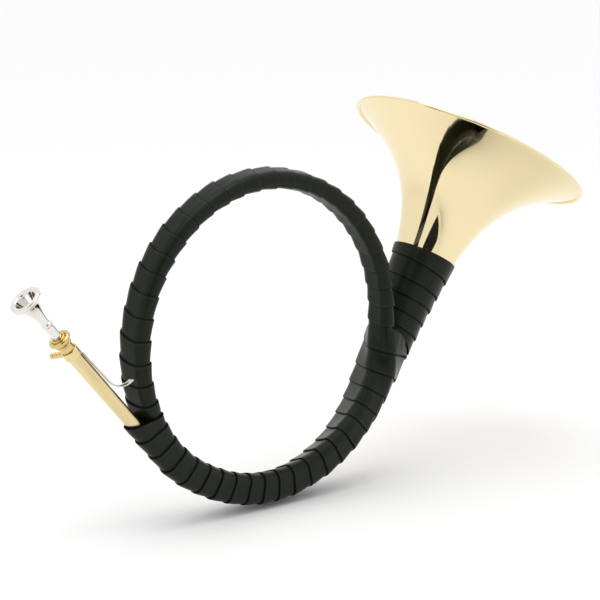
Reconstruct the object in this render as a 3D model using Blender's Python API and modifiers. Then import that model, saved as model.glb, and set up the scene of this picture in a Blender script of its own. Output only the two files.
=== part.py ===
"""Leather-wrapped brass hunting horn with a silver mouthpiece and a tuning slide.

The tube starts at the mouthpipe on the left, runs anticlockwise round the loop a little over two and a
quarter times, and leaves the loop at lower right as the straight bell branch.  Seen from the front (-Y)
the loop lies in the XZ plane.  Places round the loop are given by three numbers: the radius from the loop's
centre, the height in front of the loop's middle plane, and the angle from +X towards +Z.
"""
import math

import bmesh
import bpy
from mathutils import Matrix, Vector

MM = 0.001

# Loop of tube
LOOP_INNER_RADIUS = 105.3 * MM      # inner edge of the bare tubes, where they lie as a pair
LOWER_DRAW_IN = 1.6 * MM            # how much further in the lower bundle sits
TUBE_GAP = 0.3 * MM                 # running gap between touching pieces
COIL_GAP = 0.7 * MM                 # between neighbouring turns
TUBE_WALL = 0.5 * MM
COIL_SLOW_GROWTH = 1.5 * MM         # growth of that radius that is spread evenly over the coil
COIL_FLARE_POWER = 16.0             # the rest comes late, towards the bell
MOUTHPIPE_ANGLE = math.radians(220.1)
FULL_TURN = math.radians(360.0)
BELL_ANGLE = math.radians(329.7) + 2.0 * FULL_TURN
CROSSOVER_START = math.radians(325.0)
CROSSOVER_END = math.radians(357.0)
SETTLE_ANGLE = math.radians(26.0)   # arc over which the bundle draws in and out
COIL_STEP = math.radians(7.5)
PIPE_SIDES = 8
END_STEP = math.radians(0.5)
FERRULE_LENGTH = 12.0 * MM          # sleeve inside the bore, across a seam between two lengths of tube
FERRULE_WALL = 0.4 * MM
FERRULE_FIT = 0.15 * MM

# Bell branch and bell
BELL_INSET = 5.0 * MM               # how far the bell's tail reaches in over the tube that it passes behind
BELL_FRONT = 5.85 * MM              # how far its front side lies before that tube's back
BELL_LENGTH = 200.7 * MM
BELL_RIM_RADIUS = 90.9 * MM
BELL_TAIL_RADIUS = 13.6 * MM
BELL_TAPER = 0.05                   # steady growth of the radius along the branch
BELL_FLARE_LENGTH = 32.0 * MM       # the flare falls off to a third over this length
BELL_BARE_LENGTH = 88.0 * MM        # from the leather's end to the rim
BELL_SEAT = 16.0 * MM               # how far the flare reaches under the leather, to its branch tube
BELL_WALL = 0.6 * MM
BELL_SPIGOT = 8.0 * MM              # how deep the coil's end sits in the bell's tail
RIM_WIRE_RADIUS = 1.3 * MM
BELL_STEPS = 48

# Leather winding
LEATHER_CLEARANCE = 0.4 * MM
BORE_ALLOWANCE = 0.022              # added clearance, as a share of the largest tube in the bundle
BELL_CLEARANCE = 0.7 * MM           # the bell's own, as its sheet bulges between the laps
LEATHER_THIN = 0.9 * MM             # where a lap sinks under the next
LAP_STEP = 0.9 * MM                 # height of a lap's raised edge, on the mouthpiece's side
LAP_STEP_LENGTH = 0.6 * MM
LAP_PITCH = COIL_STEP
LAP_SLANT = 1.6 * MM                # how far a lap hangs back on its outer side
LEATHER_START = math.radians(202.9)
LEATHER_FORK = math.radians(357.0)  # where the bell branch's own winding starts
BELL_LAP_PITCH = 13.0 * MM
COLLAR_WIDTH = 14.5 * MM            # the last lap, at the bell, is wider and tied off
COLLAR_EXTRA = 0.2 * MM
LOOP_SIDES = 20
BUNDLE_SIDES = 24

# Tuning slide, measured along the mouthpipe's axis from its tangent point on the loop
SLIDE_OUTER_RADIUS = 4.9 * MM
SLIDE_WALL = 0.4 * MM
SLIDE_FIT = 0.3 * MM
SLIDE_START = 30.0 * MM
SLIDE_END = 118.0 * MM
COIL_SPIGOT = 12.0 * MM
INNER_TUBE_LENGTH = 52.0 * MM
COLLAR_WALL = 0.8 * MM
COLLAR_LENGTH = 6.4 * MM
BOSS_RADIUS = 2.6 * MM
BOSS_HEIGHT = 1.2 * MM
SLIDE_BORE = SLIDE_OUTER_RADIUS - SLIDE_WALL
COIL_START_RADIUS = SLIDE_BORE - TUBE_GAP       # outer radius of the coil where the slide tube takes it
COLLAR_RADIUS = SLIDE_OUTER_RADIUS + TUBE_GAP + COLLAR_WALL

# Receiver that the mouthpiece sits in
SOCKET_WALL = 0.5 * MM              # round the sliding tube's end
SOCKET_LENGTH = 12.0 * MM
SOCKET_DEPTH_OF_TUBE = 3.3 * MM
SOCKET_BEAD = 0.9 * MM              # height of the bead round its middle
SOCKET_RADIUS = SLIDE_BORE - SLIDE_FIT + TUBE_GAP + SOCKET_WALL
RING_WIRE_RADIUS = 1.45 * MM
RING_BACK = 2.2 * MM                # ring's middle, back from the receiver's mouth

# Mouthpiece
RIM_RADIUS = 11.4 * MM
RIM_HEIGHT = 3.2 * MM
CUP_RADIUS = 7.6 * MM
CUP_DEPTH = 14.5 * MM
THROAT_RADIUS = 1.9 * MM
FUNNEL_LENGTH = 23.6 * MM
NECK_RADIUS = 3.05 * MM
SHANK_RADIUS = 3.3 * MM
SHANK_SHOWN = 11.0 * MM
SHANK_HELD = 8.4 * MM
SHANK_TIP_RADIUS = 3.0 * MM
SHANK_FIT = 0.3 * MM

# Lock screw and finger hook
SCREW_TURN_ROUND = math.radians(24.0)
SCREW_STEM_RADIUS = 1.3 * MM
SCREW_BEAD_RADIUS = 2.1 * MM
SCREW_HEAD_LENGTH = 10.0 * MM
HOOK_WIDTH = 3.5 * MM
HOOK_THICKNESS = 0.9 * MM
HOOK_SEAT = 0.3 * MM
HOOK_STRAIGHT = 29.0 * MM
HOOK_RISE = 1.6 * MM
HOOK_CURL = 16.0 * MM               # length of the part that curls away
HOOK_TIP_GAP = 1.5 * MM             # room between its tip and the loop's winding
HOOK_FROM_COLLAR = 2.6 * MM


def remove_everything():
    for item in list(bpy.data.objects):
        bpy.data.objects.remove(item, do_unlink=True)


def make_collection(name):
    group = bpy.data.collections.new(name)
    bpy.context.scene.collection.children.link(group)
    return group


def make_material(name, colour, roughness, metallic):
    material = bpy.data.materials.new(name)
    material.use_nodes = True
    shader = material.node_tree.nodes["Principled BSDF"]
    shader.inputs["Base Color"].default_value = (*colour, 1.0)
    shader.inputs["Roughness"].default_value = roughness
    shader.inputs["Metallic"].default_value = metallic
    return material


def ease(start, end, value):
    """0 before start, 1 after end, smooth between."""
    share = min(max((value - start) / (end - start), 0.0), 1.0)
    return share * share * (3.0 - 2.0 * share)


def add_object(name, data, material, parent, place=None):
    item = bpy.data.objects.new(name, data)
    PARTS.objects.link(item)
    item.parent = parent
    if place is not None:
        item.location = place.to_translation()
        item.rotation_euler = place.to_euler()
    if material is not None:
        data.materials.append(material)
    return item


def add_empty(name, parent, place=None):
    item = add_object(name, None, None, parent, place)
    item.empty_display_size = 0.01
    return item


def shade_round(mesh, degrees=35.0):
    mesh.shade_smooth()
    mesh.set_sharp_from_angle(angle=math.radians(degrees))


# The loop's own geometry

def bell_radius(from_rim):
    """Outer radius of the bell's brass at a distance from its rim: a slow taper and a late flare."""
    flare = BELL_RIM_RADIUS - BELL_TAIL_RADIUS - BELL_TAPER * BELL_LENGTH
    return (BELL_TAIL_RADIUS + BELL_TAPER * (BELL_LENGTH - from_rim)
            + flare * math.exp(-from_rim / BELL_FLARE_LENGTH))


COIL_END_RADIUS = BELL_TAIL_RADIUS - BELL_WALL - TUBE_GAP


def coil_radius(travel):
    """Outer radius of the tube at an angle of travel from the mouthpipe on."""
    share = (travel - MOUTHPIPE_ANGLE) / (BELL_ANGLE - MOUTHPIPE_ANGLE)
    share = min(max(share, 0.0), 1.0)
    late = COIL_END_RADIUS - COIL_START_RADIUS - COIL_SLOW_GROWTH
    return COIL_START_RADIUS + COIL_SLOW_GROWTH * share + late * share ** COIL_FLARE_POWER


CROSSED_RADIUS = coil_radius(BELL_ANGLE - FULL_TURN)
# The bell's axis: its distance from the loop's centre, and how far it lies behind the loop's middle plane
BELL_LINE_RADIUS = LOOP_INNER_RADIUS + 2.0 * CROSSED_RADIUS - BELL_INSET + BELL_TAIL_RADIUS
BELL_LINE_DEPTH = BELL_TAIL_RADIUS + CROSSED_RADIUS - BELL_FRONT


def inner_edge(angle):
    """Radius of the bundle's inner edge, for an angle from the mouthpipe's up to a turn more."""
    drawn = ease(MOUTHPIPE_ANGLE, MOUTHPIPE_ANGLE + SETTLE_ANGLE, angle)
    freed = ease(CROSSOVER_START, CROSSOVER_END, angle)
    return LOOP_INNER_RADIUS - LOWER_DRAW_IN * drawn * (1.0 - freed)


def pair_place(angle):
    """Places (radius, height) of the first and the second turn at an angle of the first turn.

    Below they lie side by side, the first outside the second.  At the crossover the second slips behind
    the first, and they stay so, front and back, over the top of the loop.
    """
    first = coil_radius(angle)
    second = coil_radius(angle + FULL_TURN)
    spacing = first + second + COIL_GAP
    share = ease(CROSSOVER_START, CROSSOVER_END, angle)
    turned = share * math.atan2(spacing, first - second)
    front = second + COIL_GAP / 2.0
    second_height = front * (1.0 - 2.0 * share)
    second_radius = inner_edge(angle) + second
    first_radius = second_radius + spacing * math.cos(turned)
    first_height = second_height + spacing * math.sin(turned)
    return (first_radius, first_height), (second_radius, second_height)


MOUTHPIPE_RADIUS, MOUTHPIPE_HEIGHT = pair_place(MOUTHPIPE_ANGLE)[0]


def coil_place(travel):
    """Radius and height of the tube's centre at an angle of travel."""
    if travel < MOUTHPIPE_ANGLE + FULL_TURN:
        return pair_place(travel)[0]
    if travel < MOUTHPIPE_ANGLE + 2.0 * FULL_TURN:
        return pair_place(travel - FULL_TURN)[1]
    start_travel = MOUTHPIPE_ANGLE + 2.0 * FULL_TURN
    start_radius, start_height = pair_place(start_travel - FULL_TURN - 1e-6)[1]
    swing = math.sin(0.5 * math.pi * (travel - start_travel) / (BELL_ANGLE - start_travel)) ** 2
    radius = start_radius + (BELL_LINE_RADIUS - start_radius) * swing
    height = start_height - (BELL_LINE_DEPTH + start_height) * swing
    return radius, height


def loop_point(radius, height, angle):
    return Vector((radius * math.cos(angle), -height, radius * math.sin(angle)))


def coil_point(travel):
    return loop_point(*coil_place(travel), travel)


def tangent(angle):
    """Direction of travel round the loop."""
    return Vector((-math.sin(angle), 0.0, math.cos(angle)))


def axis_frame(origin, along):
    """Placement with local Z along the given direction and local X to the loop's front."""
    z_axis = along.normalized()
    x_axis = Vector((0.0, -1.0, 0.0))
    y_axis = z_axis.cross(x_axis)
    frame = Matrix((x_axis, y_axis, z_axis)).transposed().to_4x4()
    frame.translation = origin
    return frame


MOUTHPIPE_FRAME = axis_frame(loop_point(MOUTHPIPE_RADIUS, MOUTHPIPE_HEIGHT, MOUTHPIPE_ANGLE),
                             -tangent(MOUTHPIPE_ANGLE))
BELL_FRAME = axis_frame(loop_point(BELL_LINE_RADIUS, -BELL_LINE_DEPTH, BELL_ANGLE), tangent(BELL_ANGLE))


# Makers of shapes

def turned(name, profile, material, parent, place, steps=32, closed=True):
    """Revolve a profile of (radius, height) round local Z.

    The profile runs down its outer side first.  A closed one comes back up its bore; an open one starts
    and ends on the axis.
    """
    mesh = bpy.data.meshes.new(name)
    points = [(radius, 0.0, height) for radius, height in profile]
    edges = [(i, i + 1) for i in range(len(points) - 1)]
    if closed:
        edges.append((len(points) - 1, 0))
    mesh.from_pydata(points, edges, [])
    item = add_object(name, mesh, material, parent, place)
    screw = item.modifiers.new("Turn", 'SCREW')
    screw.axis = 'Z'
    screw.steps = steps
    screw.render_steps = steps
    screw.use_merge_vertices = True
    screw.merge_threshold = 0.000001
    screw.use_smooth_shade = True
    return item


def pipe(name, points, radii, wall, material, parent, sides=PIPE_SIDES):
    """Open-ended tube of the given outer radii along points."""
    curve = bpy.data.curves.new(name + "_path", 'CURVE')
    curve.dimensions = '3D'
    curve.bevel_depth = MM
    curve.bevel_resolution = sides // 2 - 2
    curve.use_fill_caps = False
    spline = curve.splines.new('POLY')
    spline.points.add(len(points) - 1)
    for place, point, radius in zip(spline.points, points, radii):
        place.co = (*point, 1.0)
        place.radius = radius / MM
    path = bpy.data.objects.new(name + "_path", curve)
    PARTS.objects.link(path)
    evaluated = path.evaluated_get(bpy.context.evaluated_depsgraph_get())
    mesh = bpy.data.meshes.new_from_object(evaluated)
    bpy.data.objects.remove(path, do_unlink=True)
    mesh.name = name
    shade_round(mesh, 60.0)
    item = add_object(name, mesh, material, parent)
    shell = item.modifiers.new("Wall", 'SOLIDIFY')
    shell.thickness = wall
    shell.offset = -1.0
    return item


def sleeve(name, outer, inner, material, parent):
    """Closed sleeve between rings of its outer skin and rings of its bore, all with as many points."""
    mesh = bpy.data.meshes.new(name)
    work = bmesh.new()
    skin = [[work.verts.new(point) for point in ring] for ring in outer]
    bore = [[work.verts.new(point) for point in ring] for ring in inner]
    pairs = list(zip(skin, skin[1:])) + [(skin[-1], bore[-1])]
    pairs += [(after, before) for before, after in reversed(list(zip(bore, bore[1:])))]
    pairs += [(bore[0], skin[0])]
    for first, second in pairs:
        count = len(first)
        for i in range(count):
            j = (i + 1) % count
            work.faces.new((first[i], first[j], second[j], second[i]))
    bmesh.ops.recalc_face_normals(work, faces=work.faces)
    work.to_mesh(mesh)
    work.free()
    shade_round(mesh, 25.0)
    return add_object(name, mesh, material, parent)


def wrap_section(circles, extra, sides):
    """Points (radius, height) of a skin stretched round circles, one for each direction outwards."""
    points = []
    for i in range(sides):
        way = 2.0 * math.pi * (i + 0.5) / sides
        across, front = math.cos(way), math.sin(way)
        radius, height, size = max(circles, key=lambda c: c[0] * across + c[1] * front + c[2])
        points.append((radius + (size + extra) * across, height + (size + extra) * front, way))
    return points


def straight_circle(line_radius, height, size, line_angle, angle):
    """A straight tube's section in the plane through the loop's axis at an angle."""
    slope = math.cos(angle - line_angle)
    return line_radius / slope, height, size / slope


def pair_circles(angle):
    first, second = pair_place(angle)
    return [(*first, coil_radius(angle)), (*second, coil_radius(angle + FULL_TURN))]


def bundle_circles(angle):
    """What the common winding goes round at an angle between its start and the fork."""
    if angle < MOUTHPIPE_ANGLE:
        pipe_circle = straight_circle(MOUTHPIPE_RADIUS, MOUTHPIPE_HEIGHT, SLIDE_OUTER_RADIUS,
                                      MOUTHPIPE_ANGLE, angle)
        return pair_circles(angle + FULL_TURN) + [pipe_circle]
    settled = ease(MOUTHPIPE_ANGLE, MOUTHPIPE_ANGLE + SETTLE_ANGLE, angle)
    first, second = pair_circles(angle)
    first = (first[0], first[1], first[2] + (SLIDE_OUTER_RADIUS - COIL_START_RADIUS) * (1.0 - settled))
    bell_turn = angle + 2.0 * FULL_TURN
    if bell_turn > BELL_ANGLE:
        slope = math.tan(bell_turn - BELL_ANGLE)
        along = BELL_LINE_RADIUS * slope
        far_side = along + bell_radius(BELL_LENGTH - along) * slope
        size = bell_radius(BELL_LENGTH - far_side) + BELL_CLEARANCE - LEATHER_CLEARANCE
        third = straight_circle(BELL_LINE_RADIUS, -BELL_LINE_DEPTH, size, BELL_ANGLE, bell_turn)
    else:
        swell = ease(BELL_ANGLE - SETTLE_ANGLE, BELL_ANGLE - COIL_STEP, bell_turn)
        tail = BELL_TAIL_RADIUS + BELL_CLEARANCE - LEATHER_CLEARANCE
        size = coil_radius(bell_turn) + (tail - COIL_END_RADIUS) * swell
        third = (*coil_place(bell_turn), size)
    return [first, second, third]


def wrap_rings(circles_at, start, end, sides):
    """Outer rings with one raised edge a lap, and plain rings of the bore."""
    laps = round((end - start) / LAP_PITCH)
    pitch = (end - start) / laps
    step = LAP_STEP_LENGTH / LOOP_INNER_RADIUS
    outer = []
    inner = []

    def ring(angle, extra, slant):
        points = []
        for radius, height, way in wrap_section(circles_at(angle), extra, sides):
            points.append(loop_point(radius, height, angle + slant / LOOP_INNER_RADIUS * math.cos(way)))
        return points

    thin = LEATHER_CLEARANCE + LEATHER_THIN
    for i in range(laps):
        lap = start + i * pitch
        high_slant = 0.0 if i == 0 else -LAP_SLANT
        low_slant = 0.0 if i == laps - 1 else -LAP_SLANT
        outer.append(ring(lap + (step if i else 0.0), thin + LAP_STEP, high_slant))
        outer.append(ring(lap + pitch, thin, low_slant))
        inner.append(ring(lap, LEATHER_CLEARANCE + BORE_ALLOWANCE * circles_at(lap)[-1][2], 0.0))
    inner.append(ring(end, LEATHER_CLEARANCE + BORE_ALLOWANCE * circles_at(end)[-1][2], 0.0))
    return outer, inner


def bell_ring(along, extra, tilt):
    """Ring round the bell branch; tilt turns its plane from square towards the loop's radial plane."""
    points = []
    for i in range(BUNDLE_SIDES):
        way = 2.0 * math.pi * (i + 0.5) / BUNDLE_SIDES
        across = (bell_radius(BELL_LENGTH - along) + extra) * math.cos(way)
        reached = along + across * math.tan(tilt)
        size = bell_radius(BELL_LENGTH - reached) + extra
        local = Vector((size * math.sin(way), size * math.cos(way), reached))
        points.append(BELL_FRAME @ local)
    return points


remove_everything()
PARTS = make_collection("hunting_horn")

brass = make_material("polished_brass", (0.83, 0.66, 0.36), 0.12, 1.0)
slide_brass = make_material("slide_brass", (0.80, 0.62, 0.30), 0.28, 1.0)
silver = make_material("silver_plate", (0.86, 0.85, 0.82), 0.12, 1.0)
leather = make_material("dark_green_leather", (0.028, 0.034, 0.026), 0.42, 0.0)

root = add_empty("horn_origin", None)
loop_centre = add_empty("loop_centre", root)
mouthpipe = add_empty("mouthpipe_axis", root, MOUTHPIPE_FRAME)
bell_axis = add_empty("bell_axis", root, BELL_FRAME)


def along_pipe(distance):
    return Matrix.Translation((0.0, 0.0, distance))


# Coil of tube, in three lengths that meet end to end under the leather, each seam on a ferrule
def travel_steps(start, end):
    count = max(1, round((end - start) / COIL_STEP))
    steps = [start + (end - start) * i / count for i in range(count + 1)]
    # short first and last steps keep the end faces square to the tube
    return [start, start + END_STEP] + steps[1:-1] + [end - END_STEP, end]


def coil_length(name, start, end, lead_in=None, lead_out=None):
    travels = travel_steps(start, end)
    points = [coil_point(travel) for travel in travels]
    radii = [coil_radius(travel) for travel in travels]
    if lead_in is not None:
        points.insert(0, lead_in)
        radii.insert(0, radii[0])
    if lead_out is not None:
        points.append(lead_out)
        radii.append(radii[-1])
    return pipe(name, points, radii, TUBE_WALL, brass, loop_centre)


seam = TUBE_GAP / (2.0 * LOOP_INNER_RADIUS)
first_seam = MOUTHPIPE_ANGLE + FULL_TURN
second_seam = MOUTHPIPE_ANGLE + 2.0 * FULL_TURN
coil_length("first_turn_tube", MOUTHPIPE_ANGLE, first_seam - seam,
            lead_in=MOUTHPIPE_FRAME @ Vector((0.0, 0.0, SLIDE_START + COIL_SPIGOT)))
coil_length("second_turn_tube", first_seam + seam, second_seam - seam)
coil_length("bell_bow_tube", second_seam + seam, BELL_ANGLE,
            lead_out=BELL_FRAME @ Vector((0.0, 0.0, BELL_SPIGOT)))



def seam_ferrule(name, seam_travel):
    """Sleeve inside the bore that holds two lengths in line; it follows their first straight facets."""
    share = (0.5 * FERRULE_LENGTH / LOOP_INNER_RADIUS - END_STEP) / (COIL_STEP - END_STEP)
    points = []
    radii = []
    for side in (-1.0, 1.0):
        near = seam_travel + side * END_STEP
        far = seam_travel + side * COIL_STEP
        pair = [(coil_point(near), coil_radius(near)),
                (coil_point(near).lerp(coil_point(far), share), coil_radius(near + share * (far - near)))]
        for point, radius in (reversed(pair) if side < 0.0 else pair):
            points.append(point)
            radii.append((radius - TUBE_WALL) * math.cos(math.pi / PIPE_SIDES) - FERRULE_FIT)
    pipe(name, points, radii, FERRULE_WALL, brass, loop_centre, sides=12)


seam_ferrule("first_seam_ferrule", first_seam)
seam_ferrule("second_seam_ferrule", second_seam)


# Bell: thin sheet turned to a flare, the branch tube that carries it, and a wire round its rim
def bell_sheet(name, start, end, samples, crowding):
    """Sheet between two distances from the rim; its rings crowd towards the first."""
    sheet_profile = []
    for i in range(samples):
        from_rim = start + (end - start) * (i / (samples - 1)) ** crowding
        sheet_profile.append((bell_radius(from_rim), BELL_LENGTH - from_rim))
    sheet = turned(name, sheet_profile, brass, bell_axis, None, steps=BELL_STEPS, closed=False)
    shell = sheet.modifiers.new("Sheet", 'SOLIDIFY')
    shell.thickness = BELL_WALL
    shell.offset = -1.0


flare_end = BELL_BARE_LENGTH + BELL_SEAT
bell_sheet("bell", 0.0, flare_end, 11, 1.6)
bell_sheet("bell_branch_tube", flare_end + TUBE_GAP, BELL_LENGTH, 4, 1.0)
wire_middle = BELL_RIM_RADIUS + TUBE_GAP + RIM_WIRE_RADIUS
wire_profile = []
for i in range(8):
    way = math.radians(67.5 - 45.0 * i)
    wire_profile.append((wire_middle + RIM_WIRE_RADIUS * math.cos(way),
                         RIM_WIRE_RADIUS * math.sin(way)))
turned("bell_rim_wire", wire_profile, brass, bell_axis, along_pipe(BELL_LENGTH), steps=BELL_STEPS)

# Leather winding: the loop's pair, the lower bundle of three, and the bell branch
half_gap = 0.5 * TUBE_GAP / LOOP_INNER_RADIUS
outer_rings, inner_rings = wrap_rings(pair_circles, LEATHER_FORK + half_gap,
                                      LEATHER_START + FULL_TURN - half_gap, LOOP_SIDES)
sleeve("leather_loop_wrap", outer_rings, inner_rings, leather, loop_centre)
outer_rings, inner_rings = wrap_rings(bundle_circles, LEATHER_START + half_gap,
                                      LEATHER_FORK - half_gap, BUNDLE_SIDES)
sleeve("leather_bundle_wrap", outer_rings, inner_rings, leather, loop_centre)

fork_angle = LEATHER_FORK + 2.0 * FULL_TURN - BELL_ANGLE
branch_start = BELL_LINE_RADIUS * math.tan(fork_angle) + TUBE_GAP
branch_end = BELL_LENGTH - BELL_BARE_LENGTH
collar_start = branch_end - COLLAR_WIDTH
branch_laps = round((collar_start - TUBE_GAP - branch_start) / BELL_LAP_PITCH)
branch_pitch = (collar_start - TUBE_GAP - branch_start) / branch_laps
thin = BELL_CLEARANCE + LEATHER_THIN
outer_rings = []
inner_rings = []
for i in range(branch_laps):
    lap = branch_start + i * branch_pitch
    tilt = fork_angle * (1.0 - ease(0.0, 1.5, i))
    next_tilt = fork_angle * (1.0 - ease(0.0, 1.5, i + 1))
    outer_rings.append(bell_ring(lap + (LAP_STEP_LENGTH if i else 0.0), thin + LAP_STEP, tilt))
    outer_rings.append(bell_ring(lap + branch_pitch, thin, next_tilt))
    inner_rings.append(bell_ring(lap, BELL_CLEARANCE, tilt))
inner_rings.append(bell_ring(collar_start - TUBE_GAP, BELL_CLEARANCE, 0.0))
sleeve("leather_bell_wrap", [[p for p in ring] for ring in outer_rings], inner_rings, leather, root)
outer_rings = [bell_ring(collar_start, thin + LAP_STEP, 0.0),
               bell_ring(collar_start + LAP_STEP_LENGTH, thin + LAP_STEP + COLLAR_EXTRA, 0.0),
               bell_ring(branch_end - LAP_STEP_LENGTH, thin + LAP_STEP + COLLAR_EXTRA, 0.0),
               bell_ring(branch_end, thin, 0.0)]
inner_rings = [bell_ring(collar_start, BELL_CLEARANCE, 0.0), bell_ring(branch_end, BELL_CLEARANCE, 0.0)]
sleeve("leather_bell_collar", outer_rings, inner_rings, leather, root)

# Tuning slide: a fixed outer tube with a collar, and the sliding tube that carries the receiver
slide_length = SLIDE_END - SLIDE_START
turned("outer_slide_tube",
       [(SLIDE_OUTER_RADIUS, slide_length), (SLIDE_OUTER_RADIUS, 0.0), (SLIDE_BORE, 0.0),
        (SLIDE_BORE, slide_length)],
       slide_brass, mouthpipe, along_pipe(SLIDE_START), steps=24)
inner_tube_radius = SLIDE_BORE - SLIDE_FIT
inner_tube_bore = inner_tube_radius - SLIDE_WALL
socket_start = SLIDE_END + TUBE_GAP
inner_tube_end = socket_start + SOCKET_DEPTH_OF_TUBE
tuning_slide = add_empty("tuning_slide", mouthpipe, along_pipe(socket_start))
turned("inner_slide_tube",
       [(inner_tube_radius, 0.0), (inner_tube_radius, -INNER_TUBE_LENGTH),
        (inner_tube_bore, -INNER_TUBE_LENGTH), (inner_tube_bore, 0.0)],
       slide_brass, tuning_slide, along_pipe(SOCKET_DEPTH_OF_TUBE), steps=24)
collar_bore = SLIDE_OUTER_RADIUS + TUBE_GAP
chamfer = 0.5 * MM
turned("slide_collar",
       [(COLLAR_RADIUS - chamfer, COLLAR_LENGTH), (COLLAR_RADIUS, COLLAR_LENGTH - chamfer),
        (COLLAR_RADIUS, chamfer), (COLLAR_RADIUS - chamfer, 0.0), (collar_bore, 0.0),
        (collar_bore, COLLAR_LENGTH)],
       slide_brass, mouthpipe, along_pipe(SLIDE_END - COLLAR_LENGTH), steps=24)

# Receiver socket: turned, with a bead round its middle, bored from both ends
shank_end = socket_start + SOCKET_LENGTH - SHANK_HELD
socket_bore = SHANK_RADIUS + SHANK_FIT
bead_at = 0.45 * SOCKET_LENGTH
bead_half = 1.1 * MM
seat_bore = inner_tube_radius + TUBE_GAP
seat_end = SOCKET_DEPTH_OF_TUBE + TUBE_GAP
turned("receiver_socket",
       [(SOCKET_RADIUS, SOCKET_LENGTH), (SOCKET_RADIUS, bead_at + bead_half),
        (SOCKET_RADIUS + SOCKET_BEAD, bead_at + 0.4 * bead_half), (SOCKET_RADIUS + SOCKET_BEAD, bead_at - 0.4 * bead_half),
        (SOCKET_RADIUS, bead_at - bead_half), (SOCKET_RADIUS, 0.0), (seat_bore, 0.0),
        (seat_bore, seat_end), (socket_bore, seat_end), (socket_bore, SOCKET_LENGTH)],
       slide_brass, tuning_slide, None, steps=24)
ring_middle = SOCKET_RADIUS + TUBE_GAP + RING_WIRE_RADIUS
ring_profile = []
for i in range(8):
    way = math.radians(67.5 - 45.0 * i)
    ring_profile.append((ring_middle + RING_WIRE_RADIUS * math.cos(way), RING_WIRE_RADIUS * math.sin(way)))
turned("receiver_ring", ring_profile, slide_brass, tuning_slide, along_pipe(SOCKET_LENGTH - RING_BACK),
       steps=24)

# Mouthpiece, from its rim down; heights are from the rim's face
bead_top = -FUNNEL_LENGTH
shank_top = bead_top - 3.0 * MM
mouthpiece_tip = shank_top - SHANK_SHOWN - SHANK_HELD
mouthpiece_place = socket_start + SOCKET_LENGTH + SHANK_SHOWN - shank_top
funnel_top = -RIM_HEIGHT - 1.6 * MM
profile = [(CUP_RADIUS + 1.2 * MM, 0.0), (RIM_RADIUS - 0.8 * MM, 0.0), (RIM_RADIUS, -0.9 * MM),
           (RIM_RADIUS, -0.6 * RIM_HEIGHT), (RIM_RADIUS - 1.5 * MM, -RIM_HEIGHT),
           (RIM_RADIUS - 2.2 * MM, -RIM_HEIGHT - 0.6 * MM)]
funnel_samples = 6
for i in range(funnel_samples + 1):
    share = i / funnel_samples
    radius = NECK_RADIUS + (RIM_RADIUS - 2.7 * MM - NECK_RADIUS) * (1.0 - share) ** 2.2
    profile.append((radius, funnel_top + (bead_top - funnel_top) * share))
profile += [(NECK_RADIUS + 0.5 * MM, bead_top - 0.6 * MM), (NECK_RADIUS + 0.7 * MM, bead_top - 1.5 * MM),
            (NECK_RADIUS + 0.5 * MM, bead_top - 2.4 * MM), (SHANK_RADIUS, shank_top),
            (SHANK_RADIUS, shank_top - SHANK_SHOWN), (SHANK_TIP_RADIUS, mouthpiece_tip),
            (SHANK_TIP_RADIUS - 0.7 * MM, mouthpiece_tip), (THROAT_RADIUS, -CUP_DEPTH - 3.0 * MM)]
cup_samples = 5
for i in range(cup_samples + 1):
    share = i / cup_samples
    height = -CUP_DEPTH + (CUP_DEPTH - 0.7 * MM) * share
    profile.append((THROAT_RADIUS + 0.3 * MM + (CUP_RADIUS - THROAT_RADIUS - 0.3 * MM) * share ** 0.8, height))
mouthpiece_axis = add_empty("mouthpiece_axis", tuning_slide, along_pipe(mouthpiece_place - socket_start))
turned("mouthpiece", profile, silver, mouthpiece_axis, None, steps=32)

# Lock screw: a boss on the collar's far side, and a screw with a head of three beads
screw_way = Vector((-math.cos(SCREW_TURN_ROUND), -math.sin(SCREW_TURN_ROUND), 0.0))
screw_x = Vector((0.0, 0.0, 1.0))
screw_y = screw_way.cross(screw_x)
screw_frame = Matrix((screw_x, screw_y, screw_way)).transposed().to_4x4()
screw_frame.translation = (0.0, 0.0, SLIDE_END - COLLAR_LENGTH / 2.0)
screw_axis = add_empty("lock_screw_axis", mouthpipe, screw_frame)
boss_start = COLLAR_RADIUS + TUBE_GAP
boss_end = boss_start + BOSS_HEIGHT
boss_bore = SCREW_STEM_RADIUS + TUBE_GAP
turned("lock_screw_boss",
       [(BOSS_RADIUS, BOSS_HEIGHT), (BOSS_RADIUS, 0.0), (boss_bore, 0.0), (boss_bore, BOSS_HEIGHT)],
       slide_brass, screw_axis, along_pipe(boss_start), steps=16)
head = SCREW_HEAD_LENGTH / 3.0
groove = SCREW_BEAD_RADIUS - 0.8 * MM
lock_profile = [(0.0, SCREW_HEAD_LENGTH)]
for i in range(3):
    top = SCREW_HEAD_LENGTH - i * head
    lock_profile += [(0.62 * SCREW_BEAD_RADIUS, top - 0.08 * head),
                     (SCREW_BEAD_RADIUS, top - 0.38 * head), (SCREW_BEAD_RADIUS, top - 0.62 * head),
                     (groove, top - 0.92 * head)]
stem_end = -(BOSS_HEIGHT + TUBE_GAP)
lock_profile += [(SCREW_STEM_RADIUS, 0.0), (SCREW_STEM_RADIUS, stem_end), (0.0, stem_end)]
turned("lock_screw", lock_profile, slide_brass, screw_axis, along_pipe(boss_end + TUBE_GAP), steps=16,
       closed=False)

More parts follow.
